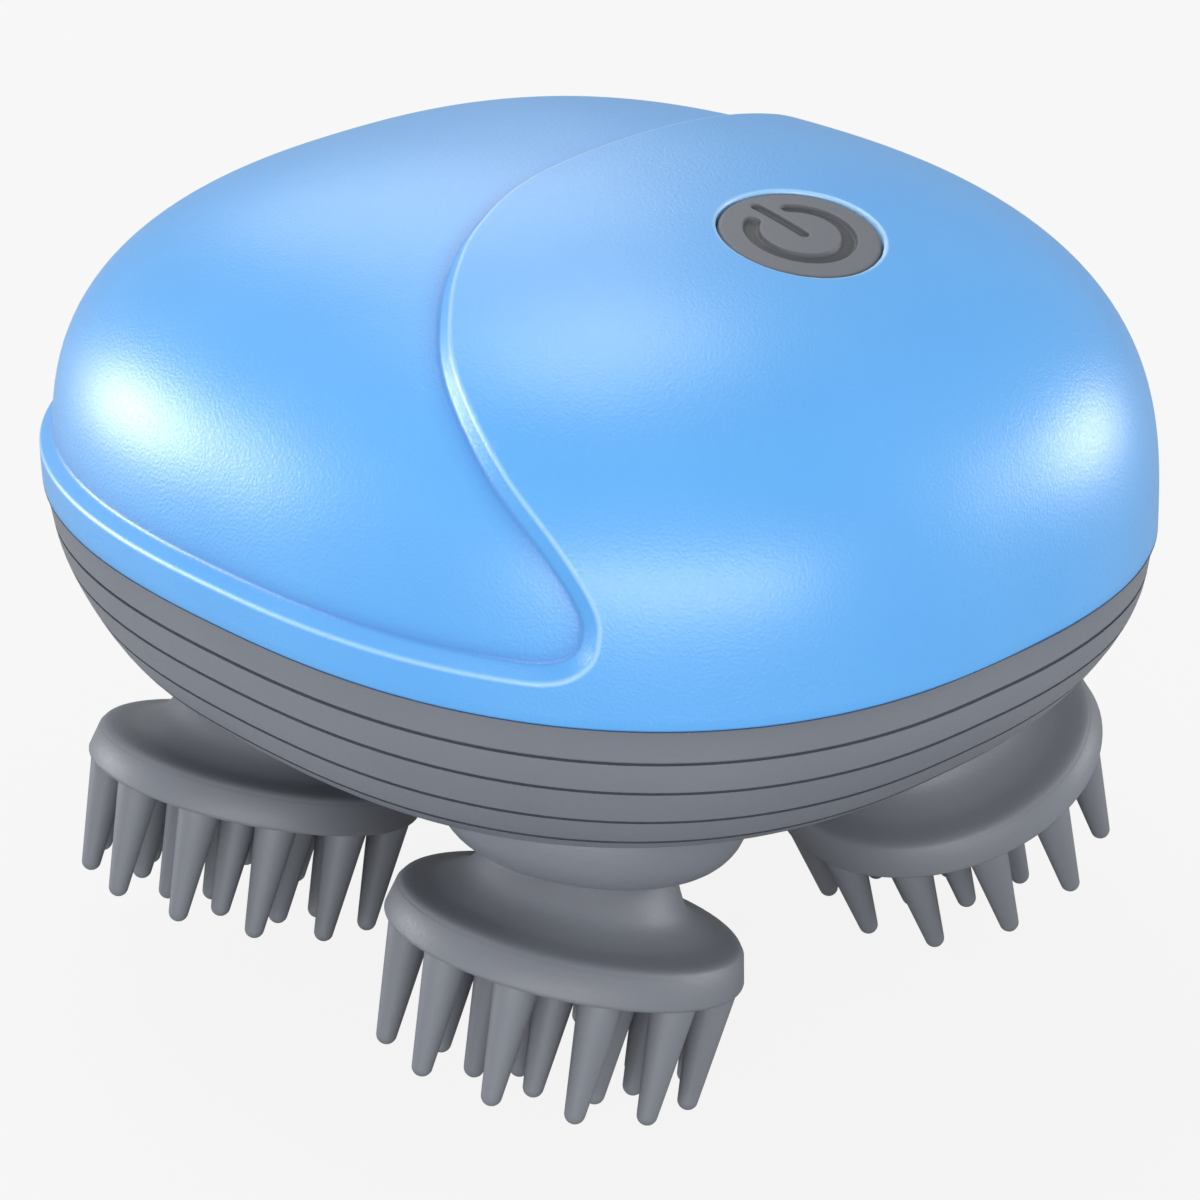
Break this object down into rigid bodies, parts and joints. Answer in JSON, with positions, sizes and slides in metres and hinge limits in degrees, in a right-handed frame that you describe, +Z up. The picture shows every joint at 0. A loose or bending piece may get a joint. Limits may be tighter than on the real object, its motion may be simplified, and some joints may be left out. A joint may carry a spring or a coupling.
{
  "type": "electric scalp massager",
  "caption": "Palm-sized electric scalp massager: a rounded housing over tilted, geared, rotating heads with soft teeth, with a push button and a plugged charging port.",
  "frame": {"origin": "on the standing surface (the plane of the lowest teeth), under the middle of the housing", "axes": "+X along the housing towards the power button, -Y the front, +Y the rear with the charging port, +Z up"},
  "size_m": [0.116, 0.093, 0.0856],
  "materials": {
    "cover_plastic": "satin",
    "housing_plastic": "satin",
    "pad_silicone": "matte",
    "button_plastic": "satin",
    "seal_rubber": "matte",
    "inner_plastic": "satin",
    "gear_plastic": "satin",
    "core_plastic": "satin",
    "steel": "brushed",
    "shaft_steel": "polished",
    "bronze": "satin",
    "worm_brass": "machined",
    "motor_steel": "zinc plated",
    "magnet": "matte",
    "copper_rotor": "enamelled",
    "board_green": "solder mask",
    "chip_black": "moulded",
    "cell_wrap": "shrink film"
  },
  "bodies": {
    "housing": {"upper_cover": "cover_plastic", "lower_housing": "housing_plastic", "housing_gasket": "seal_rubber", "cover_screws": "steel", "screw_plugs": "seal_rubber", "button_retainer": "inner_plastic", "tact_switch": "chip_black", "circuit_board": "board_green", "board_components": "chip_black", "board_screws": "steel", "charging_socket": "steel", "charge_board": "board_green", "battery_cell": "cell_wrap", "battery_cradle": "inner_plastic", "gear_deck": "inner_plastic", "deck_screws": "steel", "deck_bushes": "bronze", "turret_bushes": "bronze", "shaft_seals": "seal_rubber", "drive_pins": "shaft_steel", "worm_bush": "bronze", "motor_can": "motor_steel", "motor_end_cap": "chip_black", "motor_magnets": "magnet", "motor_screws": "steel"},
    "button": {"power_button": "button_plastic", "button_seal": "seal_rubber", "switch_plunger": "gear_plastic"},
    "port_plug": {"port_plug": "pad_silicone"},
    "worm_shaft": {"motor_shaft": "shaft_steel", "motor_rotor": "copper_rotor", "drive_worm": "worm_brass"},
    "front_drive": {"front_compound_gear": "gear_plastic"},
    "rear_drive": {"rear_compound_gear": "gear_plastic"},
    "front_left_head": {"front_left_massage_pad": "pad_silicone", "front_left_head_core": "core_plastic", "front_left_head_shaft": "shaft_steel", "front_left_head_gear": "gear_plastic"},
    "front_right_head": {"front_right_massage_pad": "pad_silicone", "front_right_head_core": "core_plastic", "front_right_head_shaft": "shaft_steel", "front_right_head_gear": "gear_plastic"},
    "rear_left_head": {"rear_left_massage_pad": "pad_silicone", "rear_left_head_core": "core_plastic", "rear_left_head_shaft": "shaft_steel", "rear_left_head_gear": "gear_plastic"},
    "rear_right_head": {"rear_right_massage_pad": "pad_silicone", "rear_right_head_core": "core_plastic", "rear_right_head_shaft": "shaft_steel", "rear_right_head_gear": "gear_plastic"}
  },
  "joints": [
    {"name": "button_press", "type": "slide", "parent": "housing", "child": "button", "axis": [-0.2326, 0, -0.9726], "range_m": [0, 0.0006], "stiffness_N_per_m": 1200, "springref_m": -0.0012},
    {"name": "port_plug_pull", "type": "slide", "parent": "housing", "child": "port_plug", "axis": [0, 1, 0], "range_m": [0, 0.008]},
    {"name": "worm_spin", "type": "hinge", "parent": "housing", "child": "worm_shaft", "pos_m": [0, 0, 0.04901], "axis": [1, 0, 0], "continuous": true},
    {"name": "front_drive_spin", "type": "hinge", "parent": "housing", "child": "front_drive", "pos_m": [0, -0.0262, 0.0165], "axis": [0, 0.342, 0.9397], "continuous": true},
    {"name": "front_left_head_spin", "type": "hinge", "parent": "housing", "child": "front_left_head", "pos_m": [-0.024, -0.0262, 0.0165], "axis": [0, 0.342, 0.9397], "continuous": true},
    {"name": "front_right_head_spin", "type": "hinge", "parent": "housing", "child": "front_right_head", "pos_m": [0.024, -0.0262, 0.0165], "axis": [0, 0.342, 0.9397], "continuous": true},
    {"name": "rear_drive_spin", "type": "hinge", "parent": "housing", "child": "rear_drive", "pos_m": [0, 0.0262, 0.0165], "axis": [0, -0.342, 0.9397], "continuous": true},
    {"name": "rear_left_head_spin", "type": "hinge", "parent": "housing", "child": "rear_left_head", "pos_m": [-0.024, 0.0262, 0.0165], "axis": [0, -0.342, 0.9397], "continuous": true},
    {"name": "rear_right_head_spin", "type": "hinge", "parent": "housing", "child": "rear_right_head", "pos_m": [0.024, 0.0262, 0.0165], "axis": [0, -0.342, 0.9397], "continuous": true}
  ],
  "couplings": [
    {"joint": "front_left_head_spin", "follows": "front_right_head_spin", "ratio": 1},
    {"joint": "front_drive_spin", "follows": "front_right_head_spin", "ratio": -1.4},
    {"joint": "rear_drive_spin", "follows": "front_right_head_spin", "ratio": 1.4},
    {"joint": "rear_right_head_spin", "follows": "front_right_head_spin", "ratio": -1},
    {"joint": "rear_left_head_spin", "follows": "front_right_head_spin", "ratio": -1},
    {"joint": "worm_spin", "follows": "front_right_head_spin", "ratio": -35}
  ]
}
